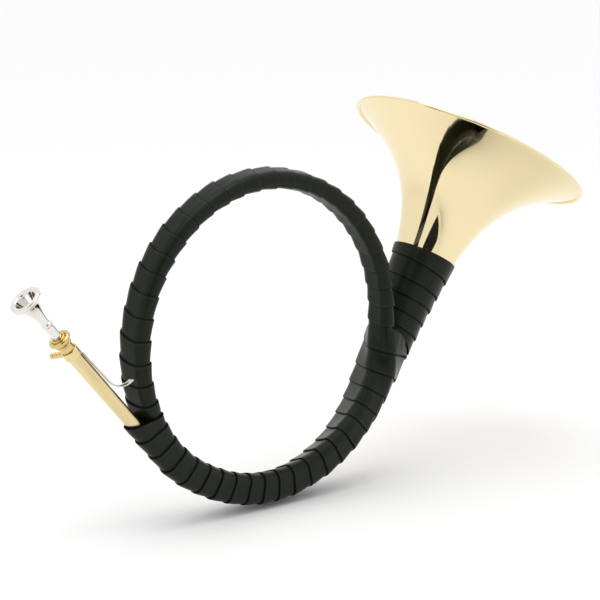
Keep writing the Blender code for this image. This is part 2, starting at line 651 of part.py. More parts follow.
# Finger hook: a flat strip along the slide tube's inner side whose free end curls away
hook_end = SLIDE_END - COLLAR_LENGTH - HOOK_FROM_COLLAR
hook_low = SLIDE_OUTER_RADIUS + HOOK_SEAT
tip_along = hook_end - HOOK_STRAIGHT - HOOK_CURL
winding_edge = (LOOP_INNER_RADIUS + 2.0 * coil_radius(MOUTHPIPE_ANGLE + FULL_TURN)
                + LEATHER_CLEARANCE + LEATHER_THIN + LAP_STEP)
hook_reach = MOUTHPIPE_RADIUS - math.sqrt((winding_edge + HOOK_TIP_GAP) ** 2 - tip_along ** 2)
path = []
for i in range(7):
    share = i / 6.0
    lift = HOOK_RISE * ease(0.1, 1.0, share)
    path.append((hook_end - HOOK_STRAIGHT * share, hook_low + lift))
start_x, start_y = path[-1]
for i in range(1, 9):
    way = 0.5 * math.pi * i / 8.0
    path.append((start_x - HOOK_CURL * math.sin(way),
                 start_y + (hook_reach - start_y) * (1.0 - math.cos(way))))
lower = []
upper = []
for i, (x, y) in enumerate(path):
    before = path[max(i - 1, 0)]
    after = path[min(i + 1, len(path) - 1)]
    run = Vector((after[0] - before[0], after[1] - before[1])).normalized()
    lower.append((x, y))
    upper.append((x + run.y * HOOK_THICKNESS, y - run.x * HOOK_THICKNESS))
curve = bpy.data.curves.new("finger_hook", 'CURVE')
curve.dimensions = '2D'
curve.fill_mode = 'BOTH'
curve.extrude = HOOK_WIDTH / 2.0
outline = lower + upper[::-1]
spline = curve.splines.new('POLY')
spline.points.add(len(outline) - 1)
for place, (x, y) in zip(spline.points, outline):
    place.co = (x, y, 0.0, 1.0)
spline.use_cyclic_u = True
hook_frame = Matrix(((0.0, 0.0, -1.0, 0.0), (0.0, 1.0, 0.0, 0.0), (1.0, 0.0, 0.0, 0.0),
                     (0.0, 0.0, 0.0, 1.0)))
add_object("finger_hook", curve, silver, mouthpipe, hook_frame)


def centre_on_origin():
    """Shift the whole horn so that the middle of its box is the origin."""
    bpy.context.view_layer.update()
    depsgraph = bpy.context.evaluated_depsgraph_get()
    corners = []
    for item in PARTS.objects:
        if item.type == 'EMPTY':
            continue
        evaluated = item.evaluated_get(depsgraph)
        mesh = evaluated.to_mesh()
        corners += [evaluated.matrix_world @ vertex.co for vertex in mesh.vertices]
        evaluated.to_mesh_clear()
    middle = [0.5 * (min(p[i] for p in corners) + max(p[i] for p in corners)) for i in range(3)]
    root.location = [-value for value in middle]
    bpy.context.view_layer.update()
    print("loop centre lies at", [round(-value, 5) for value in middle])


centre_on_origin()
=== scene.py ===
# %% [markdown]
# A leather-wrapped hunting horn, finished for rendering.
# The CAD frame holds every part at its real size and place, in metres, with the loop of tube in the XZ plane
# and its front towards -Y. This lesson dresses that frame: the leather winding, the polished bell, the silver
# mouthpiece and the small turned fittings are modelled again more finely, each in the place of its CAD part.

# %% Load the frame
import math

import bmesh
import bpy
from mathutils import Matrix, Vector, noise


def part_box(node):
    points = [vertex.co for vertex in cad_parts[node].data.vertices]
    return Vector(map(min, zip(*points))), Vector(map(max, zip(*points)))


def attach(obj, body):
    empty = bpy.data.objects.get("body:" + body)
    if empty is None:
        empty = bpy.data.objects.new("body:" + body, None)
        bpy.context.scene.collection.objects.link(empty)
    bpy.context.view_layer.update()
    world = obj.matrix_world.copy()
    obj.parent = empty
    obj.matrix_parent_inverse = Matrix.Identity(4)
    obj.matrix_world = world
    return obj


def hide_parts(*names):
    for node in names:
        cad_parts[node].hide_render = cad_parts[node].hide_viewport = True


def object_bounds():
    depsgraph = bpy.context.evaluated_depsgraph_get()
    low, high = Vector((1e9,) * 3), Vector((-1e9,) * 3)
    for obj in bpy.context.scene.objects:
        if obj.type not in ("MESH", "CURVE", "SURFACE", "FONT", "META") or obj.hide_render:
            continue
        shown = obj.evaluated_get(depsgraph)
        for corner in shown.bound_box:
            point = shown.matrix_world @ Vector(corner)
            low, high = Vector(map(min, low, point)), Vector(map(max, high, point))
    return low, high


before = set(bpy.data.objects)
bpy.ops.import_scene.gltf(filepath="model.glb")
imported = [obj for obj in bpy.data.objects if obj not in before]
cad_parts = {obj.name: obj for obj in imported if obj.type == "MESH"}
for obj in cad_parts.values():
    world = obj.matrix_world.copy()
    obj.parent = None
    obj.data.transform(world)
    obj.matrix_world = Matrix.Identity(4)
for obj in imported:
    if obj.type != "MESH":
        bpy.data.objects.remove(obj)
cad_low, cad_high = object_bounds()
MM = 0.001
FULL_TURN = math.radians(360.0)
DEGREE = math.radians(1.0)

# %% [markdown]
# The horn is drawn round one centre. The loop's middle plane, the two neighbouring turns, the third pass and
# the straight bell branch all follow from a few measures, so the same formulas that place the brass tube also
# place the leather that is wound on it. Working them out once is safer than copying points by eye.
# An angle is a place round the loop. A travel is such an angle counted on along the tube, turn after turn. A
# height counts from the loop's middle plane towards the front.

# %% Measures of the tube and the bell
LOOP_INNER_RADIUS = 105.3 * MM
LOWER_DRAW_IN = 1.6 * MM
COIL_GAP = 0.7 * MM
TUBE_GAP = 0.3 * MM
COIL_START_RADIUS = 4.2 * MM
COIL_SLOW_GROWTH = 1.5 * MM
COIL_FLARE_POWER = 16.0
MOUTHPIPE_ANGLE = math.radians(220.1)
BELL_ANGLE = math.radians(329.7) + 2.0 * FULL_TURN
CROSSOVER_START = math.radians(325.0)
CROSSOVER_END = math.radians(357.0)
SETTLE_ANGLE = math.radians(26.0)
BELL_LINE_RADIUS = 124.0 * MM
BELL_LINE_DEPTH = 12.8 * MM
BELL_LENGTH = 200.7 * MM
BELL_RIM_RADIUS = 90.9 * MM
BELL_TAIL_RADIUS = 13.6 * MM
BELL_TAPER = 0.05
BELL_FLARE_LENGTH = 32.0 * MM
BELL_WALL = 0.6 * MM
COIL_END_RADIUS = BELL_TAIL_RADIUS - BELL_WALL - TUBE_GAP


def ease(start, end, value):
    """From 0 at the start to 1 at the end, level at both."""
    share = min(max((value - start) / (end - start), 0.0), 1.0)
    return share * share * (3.0 - 2.0 * share)


def bell_radius(from_rim):
    """The bell's outer radius: a slow cone with a flare that fades away from the rim."""
    flare = BELL_RIM_RADIUS - BELL_TAIL_RADIUS - BELL_TAPER * BELL_LENGTH
    return (BELL_TAIL_RADIUS + BELL_TAPER * (BELL_LENGTH - from_rim)
            + flare * math.exp(-from_rim / BELL_FLARE_LENGTH))


def coil_radius(travel):
    """The tube's outer radius, which grows slowly and then fast just before the bell."""
    share = (travel - MOUTHPIPE_ANGLE) / (BELL_ANGLE - MOUTHPIPE_ANGLE)
    share = min(max(share, 0.0), 1.0)
    late = COIL_END_RADIUS - COIL_START_RADIUS - COIL_SLOW_GROWTH
    return COIL_START_RADIUS + COIL_SLOW_GROWTH * share + late * share ** COIL_FLARE_POWER


def inner_edge(angle):
    """How far the innermost tube's near side is from the loop's centre."""
    drawn = ease(MOUTHPIPE_ANGLE, MOUTHPIPE_ANGLE + SETTLE_ANGLE, angle)
    freed = ease(CROSSOVER_START, CROSSOVER_END, angle)
    return LOOP_INNER_RADIUS - LOWER_DRAW_IN * drawn * (1.0 - freed)


def pair_place(angle):
    """The first and the second turn's (radius, height), before and after they cross over."""
    first = coil_radius(angle)
    second = coil_radius(angle + FULL_TURN)
    spacing = first + second + COIL_GAP
    share = ease(CROSSOVER_START, CROSSOVER_END, angle)
    turned = share * math.atan2(spacing, first - second)
    front = second + COIL_GAP / 2.0
    second_height = front * (1.0 - 2.0 * share)
    second_radius = inner_edge(angle) + second
    first_radius = second_radius + spacing * math.cos(turned)
    first_height = second_height + spacing * math.sin(turned)
    return (first_radius, first_height), (second_radius, second_height)


MOUTHPIPE_RADIUS, MOUTHPIPE_HEIGHT = pair_place(MOUTHPIPE_ANGLE)[0]


def third_place(travel):
    """The third pass's (radius, height), as it swings from the second turn's place to the bell's line."""
    start_travel = MOUTHPIPE_ANGLE + 2.0 * FULL_TURN
    start_radius, start_height = pair_place(start_travel - FULL_TURN)[1]
    swing = math.sin(0.5 * math.pi * (travel - start_travel) / (BELL_ANGLE - start_travel)) ** 2
    radius = start_radius + (BELL_LINE_RADIUS - start_radius) * swing
    height = start_height - (BELL_LINE_DEPTH + start_height) * swing
    return radius, height


# %% [markdown]
# The loop's centre isn't the frame's origin, which is the middle of the whole horn's box. The wire round
# the bell's rim is a plain ring, so the middle of its box is the middle of the bell's mouth, and the loop's
# centre is a known step away from there.

# %% Place the loop's centre, the bell's axis and the mouthpipe's axis
def loop_point(radius, height, angle):
    """A point as seen from the loop's centre."""
    return Vector((radius * math.cos(angle), -height, radius * math.sin(angle)))


def tangent(angle):
    """The way the tube runs at an angle."""
    return Vector((-math.sin(angle), 0.0, math.cos(angle)))


def axis_frame(origin, along):
    """A placing whose z runs along an axis and whose x points to the front."""
    z_axis = along.normalized()
    x_axis = Vector((0.0, -1.0, 0.0))
    y_axis = z_axis.cross(x_axis)
    placed = Matrix((x_axis, y_axis, z_axis)).transposed().to_4x4()
    placed.translation = origin
    return placed


def further(placing, distance):
    """The same placing moved along its own z."""
    return placing @ Matrix.Translation((0.0, 0.0, distance))


ring_low, ring_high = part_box("bell_rim_wire")
ring_middle = (Vector(ring_low) + Vector(ring_high)) / 2.0
bell_tail = loop_point(BELL_LINE_RADIUS, -BELL_LINE_DEPTH, BELL_ANGLE)
pipe_end = loop_point(MOUTHPIPE_RADIUS, MOUTHPIPE_HEIGHT, MOUTHPIPE_ANGLE)
LOOP_CENTRE = ring_middle - (bell_tail + tangent(BELL_ANGLE) * BELL_LENGTH)
BELL_FRAME = axis_frame(LOOP_CENTRE + bell_tail, tangent(BELL_ANGLE))
PIPE_FRAME = axis_frame(LOOP_CENTRE + pipe_end, -tangent(MOUTHPIPE_ANGLE))
print("loop centre in mm", [round(v * 1000, 1) for v in LOOP_CENTRE])

# %% [markdown]
# Shader maths reads best as plain arithmetic. The small class below wraps a node socket, so that an
# expression such as 1 - mask * 0.5 adds the Math nodes by itself. Any other node comes from one method that
# sets the node's own settings first and then its sockets.

# %% A small class for shader maths
# A Mix node has a set of sockets for each kind of value, so the colour ones go by their number.
MIX_FACTOR = 0
MIX_FIRST = 6
MIX_SECOND = 7
MIX_RESULT = 2


def plug(tree, slot, value):
    """Link a wire to a socket, or set the socket's own value. A colour gets its alpha here."""
    if isinstance(value, Wire):
        tree.links.new(value.socket, slot)
    elif slot.type == 'RGBA':
        slot.default_value = (*value, 1.0)
    else:
        slot.default_value = value


class Wire:
    """A node's output that can be used in arithmetic."""

    def __init__(self, tree, socket):
        self.tree = tree
        self.socket = socket

    def math(self, operation, *others):
        node = self.tree.nodes.new("ShaderNodeMath")
        node.operation = operation
        for slot, value in zip(node.inputs, (self, *others)):
            plug(self.tree, slot, value)
        return Wire(self.tree, node.outputs[0])

    def __add__(self, other):
        return self.math('ADD', other)

    __radd__ = __add__

    def __mul__(self, other):
        return self.math('MULTIPLY', other)

    __rmul__ = __mul__

    def __sub__(self, other):
        return self.math('SUBTRACT', other)

    def __rsub__(self, other):
        return (self * -1.0) + other

    def clamp(self):
        return self.math('MINIMUM', 1.0).math('MAXIMUM', 0.0)


class Finish:
    """One material: its Principled shader, and a way to add nodes."""

    def __init__(self, name, colour, roughness, metallic):
        self.material = bpy.data.materials.new(name)
        self.material.use_nodes = True
        self.tree = self.material.node_tree
        self.shader = self.tree.nodes["Principled BSDF"]
        self.set(Base_Color=colour, Roughness=roughness, Metallic=metallic)

    def set(self, **sockets):
        for key, value in sockets.items():
            plug(self.tree, self.shader.inputs[key.replace("_", " ")], value)

    def node(self, kind, sockets, settings=None, output=0):
        node = self.tree.nodes.new(kind)
        for key, value in (settings or {}).items():
            setattr(node, key, value)
        for key, value in sockets.items():
            plug(self.tree, node.inputs[key], value)
        return Wire(self.tree, node.outputs[output])

    def place(self):
        return self.node("ShaderNodeTexCoord", {}, output="Object")

    def attribute(self, name):
        return self.node("ShaderNodeAttribute", {}, {"attribute_name": name}, "Fac")

    def noise(self, scale, detail=3.0, roughness=0.5, vector=None):
        return self.node("ShaderNodeTexNoise", {"Vector": vector or self.place(), "Scale": scale,
                                                "Detail": detail, "Roughness": roughness})

    def mix(self, factor, first, second):
        return self.node("ShaderNodeMix", {MIX_FACTOR: factor, MIX_FIRST: first, MIX_SECOND: second},
                         {"data_type": 'RGBA'}, MIX_RESULT)

    def bump(self, height, distance, strength):
        self.set(Normal=self.node("ShaderNodeBump", {"Height": height, "Distance": distance,
                                                     "Strength": strength}))


# %% [markdown]
# Brass on a horn is lacquered or polished, so it is nearly a mirror with a warm tint. Faint cloudy changes
# in roughness, as from handling, keep it from looking like plastic. The slide is less polished, its outer
# tube shows fine streaks from being drawn, and the small turned fittings are a deeper yellow. The
# mouthpiece and the finger hook are plated silver white.

# %% Brass and silver
def make_polished_brass():
    """The bell and its rolled rim, nearly a mirror."""
    finish = Finish("polished_brass", (0.86, 0.73, 0.45), roughness=0.05, metallic=1.0)
    finish.set(Roughness=finish.noise(scale=14.0, detail=4.0, roughness=0.55) * 0.05 + 0.02)
    return finish


def make_slide_brass():
    """The collar, the inner tube and the coil, dulled in patches by handling."""
    finish = Finish("slide_brass", (0.80, 0.655, 0.34), roughness=0.24, metallic=1.0)
    handling = finish.noise(scale=90.0, detail=4.0, roughness=0.6)
    finish.set(Roughness=handling * 0.22 + 0.12)
    finish.set(Base_Color=finish.mix(handling, (0.86, 0.72, 0.40), (0.74, 0.58, 0.27)))
    finish.bump(finish.noise(scale=420.0), distance=0.03 * MM, strength=0.4)
    return finish


def make_turned_brass():
    """The receiver, its ring and the lock screw."""
    finish = Finish("turned_brass", (0.72, 0.54, 0.24), roughness=0.16, metallic=1.0)
    finish.set(Roughness=finish.noise(scale=160.0, detail=4.0) * 0.16 + 0.06)
    return finish


def make_drawn_brass():
    """The outer slide tube, with streaks along its length: a noise stretched along the tube's axis."""
    finish = Finish("drawn_brass", (0.76, 0.62, 0.33), roughness=0.22, metallic=1.0)
    lengthwise = finish.node("ShaderNodeMapping",
                             {"Vector": finish.place(), "Rotation": (0.0, -(MOUTHPIPE_ANGLE - math.pi), 0.0),
                              "Scale": (1.0, 1.0, 40.0)}, {"vector_type": 'TEXTURE'})
    streaks = finish.noise(scale=620.0, detail=3.0, roughness=0.6, vector=lengthwise)
    finish.set(Base_Color=finish.mix((streaks - 0.3) * 2.2, (0.84, 0.71, 0.42), (0.64, 0.49, 0.23)))
    finish.set(Roughness=streaks * 0.2 + 0.12)
    return finish


def make_silver_plate():
    """The mouthpiece, bright with a faint cloudiness."""
    finish = Finish("silver_plate", (0.80, 0.775, 0.73), roughness=0.10, metallic=1.0)
    finish.set(Roughness=finish.noise(scale=60.0, detail=4.0) * 0.12 + 0.04)
    return finish


bell_brass = make_polished_brass()
slide_brass = make_slide_brass()
fitting_brass = make_turned_brass()
drawn_brass = make_drawn_brass()
hook_plate = Finish("hook_plate", (0.62, 0.59, 0.52), roughness=0.14, metallic=1.0)
silver = make_silver_plate()
print("metals:", sorted(m.name for m in bpy.data.materials if m.name.endswith(("_brass", "_plate"))))

# %% [markdown]
# The winding is thin leather, dyed so dark a green that it is nearly black. Every lap shows a black line
# where its cut edge is raised, which is the black cut edge with a painted shadow line beside it, then a
# painted sheen, a paler band just past it where the raised edge catches the light, and its own tone. The
# mesh carries two values for this: lap_share, which runs from the cut edge across the lap, and lap_tone.

# %% Leather
def make_leather():
    finish = Finish("dark_green_leather", (0.008, 0.011, 0.007), roughness=0.36, metallic=0.0)
    finish.set(Specular_IOR_Level=0.15)
    lap_share = finish.attribute("lap_share")
    lap_tone = finish.attribute("lap_tone")
    grain = finish.node("ShaderNodeTexVoronoi", {"Vector": finish.place(), "Scale": 900.0})
    pores = finish.noise(scale=420.0, detail=5.0, roughness=0.6)
    clouds = finish.noise(scale=55.0, detail=4.0, roughness=0.55)
    # Black at the start of each lap: the black cut edge, with a painted shadow line beside it.
    cut_edge_and_shadow = (1.6 - lap_share * 22.0).clamp()
    # A painted sheen: a paler band just past the raised edge, where it catches the light.
    sheen_at = 0.11
    edge_sheen = (1.0 - (lap_share - sheen_at).math('ABSOLUTE') * 26.0).clamp() * clouds
    base = finish.mix(clouds, (0.006, 0.0095, 0.0042), (0.012, 0.0155, 0.0088))
    base = finish.mix(lap_tone * 0.5, base, (0.010, 0.0125, 0.0075))
    base = finish.mix(edge_sheen * 0.35, base, (0.050, 0.054, 0.046))
    base = finish.mix(cut_edge_and_shadow * 0.95, base, (0.0008, 0.0008, 0.0008))
    finish.set(Base_Color=base)
    finish.set(Roughness=(0.24 + clouds * 0.16 + cut_edge_and_shadow * 0.5).clamp())
    finish.bump(grain * 0.6 + pores * 0.5, distance=0.12 * MM, strength=0.55)
    return finish


leather = make_leather()
print("the leather has", len(leather.tree.nodes), "nodes")

# %% [markdown]
# The winding is one long strip of leather, laid round the tubes like a bandage. A lap's cross-section
# depends on the tubes under it, so the first step is the skin: a band stretched round the tubes' circles,
# measured off evenly round its girth. A shape like this is a formula rather than something to push by hand,
# so it is computed. A circle is (radius, height, size), its centre's place on the loop and its own radius.

# %% Sections of the wrapped bundle
def skin(circles, samples=180):
    """Points (radius, height, radial way, front way) of a band stretched round circles."""
    points = []
    for i in range(samples):
        way = 2.0 * math.pi * i / samples
        across, front = math.cos(way), math.sin(way)
        radius, height, size = max(circles, key=lambda c: c[0] * across + c[1] * front + c[2])
        points.append((radius + size * across, height + size * front, across, front))
    return points


def even_skin(circles, sides):
    """The band's points, spaced evenly along its girth.

    They start on the outer side, level with the circles' mean height, which shifts smoothly from section to
    section even where the outermost circle changes.
    """
    points = skin(circles)
    level = sum(c[1] * c[2] for c in circles) / sum(c[2] for c in circles)
    half = len(points) // 2
    first = next(i for i in range(-half // 2, half) if points[i - 1][1] < level <= points[i][1])
    before, after = points[first - 1], points[first]
    share = (level - before[1]) / (after[1] - before[1])
    start = tuple(a + (b - a) * share for a, b in zip(before, after))
    points = [start] + [points[(first + i) % len(points)] for i in range(len(points))] + [start]
    lengths = [0.0]
    for before, after in zip(points, points[1:]):
        lengths.append(lengths[-1] + math.hypot(after[0] - before[0], after[1] - before[1]))
    even = []
    k = 0
    for i in range(sides):
        goal = lengths[-1] * i / sides
        while lengths[k + 1] < goal:
            k += 1
        span = lengths[k + 1] - lengths[k]
        share = (goal - lengths[k]) / span if span > 0.0 else 0.0
        even.append([a + (b - a) * share for a, b in zip(points[k], points[k + 1])])
    return even


# %% [markdown]
# Three round tubes run through the lower bundle: both turns, and either the slide tube, where it dips in
# under the leather, or the third pass on its way to the bell. A straight tube that leaves the loop is cut
# at a slant by the loop's sections, so its circle grows and moves outwards there.

# %% The circles in each section
SLIDE_OUTER_RADIUS = 4.9 * MM
SWELL_END = math.radians(7.5)


def straight_circle(line_radius, height, size, line_angle, angle):
    """A section of the straight tube that leaves the loop along its tangent at line_angle."""
    slope = math.cos(angle - line_angle)
    return line_radius / slope, height, size / slope


def pair_circles(angle):
    """The two turns."""
    first, second = pair_place(angle)
    return [(*first, coil_radius(angle)), (*second, coil_radius(angle + FULL_TURN))]


def bundle_circles(angle):
    """The two turns with the slide tube, and further on with the third pass."""
    if angle < MOUTHPIPE_ANGLE:
        pipe = straight_circle(MOUTHPIPE_RADIUS, MOUTHPIPE_HEIGHT, SLIDE_OUTER_RADIUS, MOUTHPIPE_ANGLE, angle)
        return pair_circles(angle + FULL_TURN) + [pipe]
    settled = ease(MOUTHPIPE_ANGLE, MOUTHPIPE_ANGLE + SETTLE_ANGLE, angle)
    first, second = pair_circles(angle)
    first = (first[0], first[1], first[2] + (SLIDE_OUTER_RADIUS - COIL_START_RADIUS) * (1.0 - settled))
    travel = angle + 2.0 * FULL_TURN
    if travel > BELL_ANGLE:
        size = bell_radius(BELL_LENGTH - BELL_LINE_RADIUS * math.tan(travel - BELL_ANGLE))
        third = straight_circle(BELL_LINE_RADIUS, -BELL_LINE_DEPTH, size, BELL_ANGLE, travel)
    else:
        swell = ease(BELL_ANGLE - SETTLE_ANGLE, BELL_ANGLE - SWELL_END, travel)
        size = coil_radius(travel) + (BELL_TAIL_RADIUS - COIL_END_RADIUS) * swell
        third = (*third_place(travel), size)
    return [first, second, third]


# %% [markdown]
# Each lap starts with a raised cut edge on the mouthpiece's side, lies over the lap before, and sinks
# towards the bell until the next lap covers it. The strip runs round as a screw thread does: going once
# round the girth moves it on by one lap. So a ring of the mesh is let drift forward by one lap's width on
# its way round, and its end is joined to the ring one lap later. Rings that would pass an end of the sleeve
# are held back there. Small seeded changes of width, height and surface keep the laps from looking
# machined.

# %% The laps' shape and their seeded changes
LAP_SHAPE = [(0.0, 0.0), (0.004, 0.55), (0.022, 0.93), (0.06, 1.0), (0.14, 0.96), (0.30, 0.80), (0.50, 0.56),
             (0.70, 0.33), (0.86, 0.14), (0.96, 0.03)]
LEATHER_LIFT = 1.25 * MM
LAP_RISE = 1.05 * MM
BORE_LIFT = 0.35 * MM
END_LIFT = LEATHER_LIFT * 0.9
WIDTH_CHANGE = 0.16
RISE_CHANGE = 0.4
WOBBLE = 0.16 * MM
WOBBLES_PER_LAP = 1.7
WOBBLE_ROUND = 6.283
MERGE_DISTANCE = 0.02 * MM
SHARP_EDGE = math.radians(48.0)


def seeded_laps(laps, last_lap, skipped):
    """Where each lap starts, as a share of the sleeve's run, how far its edge rises, and its tone."""
    widths = [1.0 + WIDTH_CHANGE * (noise.random() - 0.5) for i in range(laps + 2)]
    widths[laps] *= last_lap
    total = sum(widths[1:laps + 1]) - skipped * widths[1]
    starts = [-(widths[0] + skipped * widths[1]) / total]
    for width in widths:
        starts.append(starts[-1] + width / total)
    rises = [LAP_RISE * (1.0 + RISE_CHANGE * (noise.random() - 0.5)) for i in range(laps + 3)]
    tones = [noise.random() for i in range(laps + 3)]
    return starts, rises, tones


def between(values, i, share):
    """The value at a share of the way from one entry of a list to the next."""
    return values[i] + (values[i + 1] - values[i]) * share


def held_in(reach, share):
    """A share of the run, held between the sleeve's start and stop."""
    return min(max(share, reach[0]), reach[1])


def join_rings(work, rings, closed):
    """Faces between rings, outwards for an open skin and inwards for the closed bore."""
    for first, second in zip(rings, rings[1:]):
        for side in range(len(first) if closed else len(first) - 1):
            after = (side + 1) % len(first)
            if closed:
                work.faces.new((first[side], second[side], second[after], first[after]))
            else:
                work.faces.new((first[side], first[after], second[after], second[side]))


# %% [markdown]
# The sleeve's mesh has an outer side made of the laps, an inner side close to the tubes, and a ring of faces
# at each end. It is written directly, because every ring follows a skin of its own.

# %% The winding's mesh
def add_laps(work, point_at, laps, sides, seed, fall, reaches, seeded):
    """The sleeve's outer side, with each vertex's place across its lap and its lap's tone."""
    starts, rises, tones = seeded
    share_layer = work.verts.layers.float.new("lap_share")
    tone_layer = work.verts.layers.float.new("lap_tone")
    rings = []
    for lap in range(laps + 1):
        for spot, height in LAP_SHAPE:
            ring = []
            here = between(starts, lap, spot)
            later = between(starts, lap + 1, spot)
            for side in range(sides + 1):
                turn = side / sides
                drift = turn - (0.5 - fall) * (1.0 - math.cos(2.0 * math.pi * turn)) / 2.0
                share = here + (later - here) * drift
                held = held_in(reaches[side], share)
                lift = LEATHER_LIFT + height * between(rises, lap, turn)
                spot_seed = Vector((held * laps * WOBBLES_PER_LAP, turn * WOBBLE_ROUND, seed))
                vert = work.verts.new(point_at(held, side % sides, lift + noise.noise(spot_seed) * WOBBLE))
                # Rings held at a sleeve's end get share 0, so the end's edge is painted black: a cut edge
                # with a painted shadow line.
                vert[share_layer] = spot if held == share else 0.0
                vert[tone_layer] = between(tones, lap, turn)
                ring.append(vert)
            rings.append(ring)
    join_rings(work, rings, closed=False)


def add_bore(work, point_at, laps, sides, reaches):
    """The sleeve's inner side, close to the tubes, and the rings that close the two ends."""
    last = laps * 2
    bore = []
    for i in range(last + 1):
        bore.append([work.verts.new(point_at(held_in(reaches[side], i / last), side, BORE_LIFT))
                     for side in range(sides)])
    join_rings(work, bore, closed=True)
    starts = [work.verts.new(point_at(reaches[side][0], side, END_LIFT)) for side in range(sides)]
    ends = [work.verts.new(point_at(reaches[side][1], side, END_LIFT)) for side in range(sides)]
    for side in range(sides):
        after = (side + 1) % sides
        work.faces.new((bore[0][side], bore[0][after], starts[after], starts[side]))
        work.faces.new((bore[-1][after], bore[-1][side], ends[side], ends[after]))


def wound_leather(name, point_at, laps, sides, seed, fall, last_lap=1.0, reach=None, skipped=0.0):
    """A sleeve of laps. point_at(share, side, extra) gives the world point at a share of the sleeve's run.

    fall is the part of a lap's width by which the strip moves on over the front; the rest is made up behind.
    reach(side) gives the shares at which the sleeve starts and stops on a side, so that its ends can slant.
    skipped is the part of the first lap that lies before the sleeve's start.
    """
    reaches = [reach(side % sides) if reach else (0.0, 1.0) for side in range(sides + 1)]
    seeded = seeded_laps(laps, last_lap, skipped)
    mesh = bpy.data.meshes.new(name)
    work = bmesh.new()
    add_laps(work, point_at, laps, sides, seed, fall, reaches, seeded)
    add_bore(work, point_at, laps, sides, reaches)
    bmesh.ops.remove_doubles(work, verts=work.verts, dist=MERGE_DISTANCE)
    bmesh.ops.recalc_face_normals(work, faces=work.faces)
    work.to_mesh(mesh)
    work.free()
    mesh.materials.append(leather.material)
    piece = bpy.data.objects.new(name, mesh)
    bpy.context.scene.collection.objects.link(piece)
    mesh.shade_smooth()
    mesh.set_sharp_from_angle(angle=SHARP_EDGE)
    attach(piece, "horn")
    print(name, "has", len(mesh.polygons), "faces")
    return piece


def loop_run(circles_at, start, end, sides, cover):
    """Makes point_at for a run round the loop, with its sections kept so that each is worked out once.

    cover(angle, turn) is the share of its thickness that the leather keeps where other laps lie over it.
    """
    kept = {}

    def section(share):
        key = round(share, 6)
        if key not in kept:
            angle = start + (end - start) * share
            kept[key] = (angle, even_skin(circles_at(angle), sides))
        return kept[key]

    def point_at(share, side, extra):
        angle, points = section(share)
        radius, height, across, front = points[side]
        extra *= cover(angle, side / sides)
        length = math.hypot(across, front)
        outward = radius + extra * across / length
        forward = height + extra * front / length
        return LOOP_CENTRE + loop_point(outward, forward, angle)

    return point_at


# %% [markdown]
# The leather lies in three sleeves: round the loop's two turns, round all three tubes below, and round
# the bell branch. Where the branch leaves the loop, the winder closes the crotch with one wide lap round
# all three tubes. The loop's winding has its first laps thin and hidden under that wide lap, and then lies
# on it. At its other end it goes thin again, under the first lap of the common winding.

# %% Wind the loop
noise.seed_set(11)
LOOP_SIDES = 64
LOOP_LAPS = 29
HIDDEN_LAPS = 1.5
LEATHER_START = math.radians(202.9)
CROTCH = 355.0 * DEGREE
LOOP_END = LEATHER_START + FULL_TURN + 2.5 * DEGREE
LOOP_PITCH = (LOOP_END - CROTCH) / (LOOP_LAPS - HIDDEN_LAPS)
COVERED = 0.3


def loop_cover(angle, turn):
    """Thin under the wide lap at the crotch, and under the common winding's first lap."""
    at_crotch = ease(CROTCH - 0.5 * DEGREE, CROTCH, angle)
    at_start = 1.0 - ease(LEATHER_START + FULL_TURN - 1.2 * DEGREE, LEATHER_START + FULL_TURN, angle)
    return COVERED + (1.0 - COVERED) * at_crotch * at_start


loop_point_at = loop_run(pair_circles, CROTCH - HIDDEN_LAPS * LOOP_PITCH, LOOP_END, LOOP_SIDES, loop_cover)
loop_leather = wound_leather("loop_leather", loop_point_at, LOOP_LAPS, LOOP_SIDES, seed=1.0, fall=0.1,
                             skipped=0.5)
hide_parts("leather_loop_wrap")

# %% [markdown]
# The common winding starts on the slide tube, a little askew and a little thinner, and ends as the wide lap
# at the crotch. That lap's edge slants: it reaches furthest on the loop's side and falls back on the bell's
# side, in two steps. A turn counts round the girth from the outer side, where the bell is, so the loop's
# side is half a turn away.

# %% Wind the lower bundle
BUNDLE_SIDES = 80
BUNDLE_LAPS = 21
BUNDLE_FROM = LEATHER_START - 1.4 * DEGREE
BUNDLE_TO = CROTCH + 1.4 * DEGREE
EDGE_LEAD = 0.4 * DEGREE
INNER_FALL = 2.8 * DEGREE
OUTER_FALL = 7.4 * DEGREE
START_THICKNESS = 0.72
START_SLANT = 0.016


def wide_lap_edge(turn):
    """The angle of the wide lap's edge."""
    from_outside = min(turn, 1.0 - turn)
    inner = INNER_FALL * (1.0 - ease(0.30, 0.5, from_outside))
    outer = OUTER_FALL * (1.0 - ease(0.05, 0.34, from_outside))
    return CROTCH + EDGE_LEAD - inner - outer


def bundle_cover(angle, turn):
    """A little thinner where it begins on the slide tube, and thin where it goes under at the crotch."""
    begun = ease(BUNDLE_FROM, BUNDLE_FROM + 3.0 * DEGREE, angle)
    edge = wide_lap_edge(turn)
    shown = 1.0 - ease(edge - 0.9 * DEGREE, edge - 0.1 * DEGREE, angle)
    return (START_THICKNESS + (1.0 - START_THICKNESS) * begun) * (COVERED + (1.0 - COVERED) * shown)


def bundle_reach(side):
    """The start falls back on the loop's side, and the stop follows the wide lap's edge."""
    turn = side / BUNDLE_SIDES
    start = START_SLANT * (1.0 - math.cos(2.0 * math.pi * turn)) / 2.0
    return start, (wide_lap_edge(turn) + DEGREE - BUNDLE_FROM) / (BUNDLE_TO - BUNDLE_FROM)


bundle_point_at = loop_run(bundle_circles, BUNDLE_FROM, BUNDLE_TO, BUNDLE_SIDES, bundle_cover)
bundle_leather = wound_leather("bundle_leather", bundle_point_at, BUNDLE_LAPS, BUNDLE_SIDES, seed=5.0,
                               fall=0.2, last_lap=2.0, reach=bundle_reach, skipped=0.2)
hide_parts("leather_bundle_wrap")

# %% [markdown]
# The bell branch has a winding of its own. It starts on the wide lap, along that lap's slanting edge, so no
# brass shows in the crotch. Its last lap is broader and makes the collar at the bell.

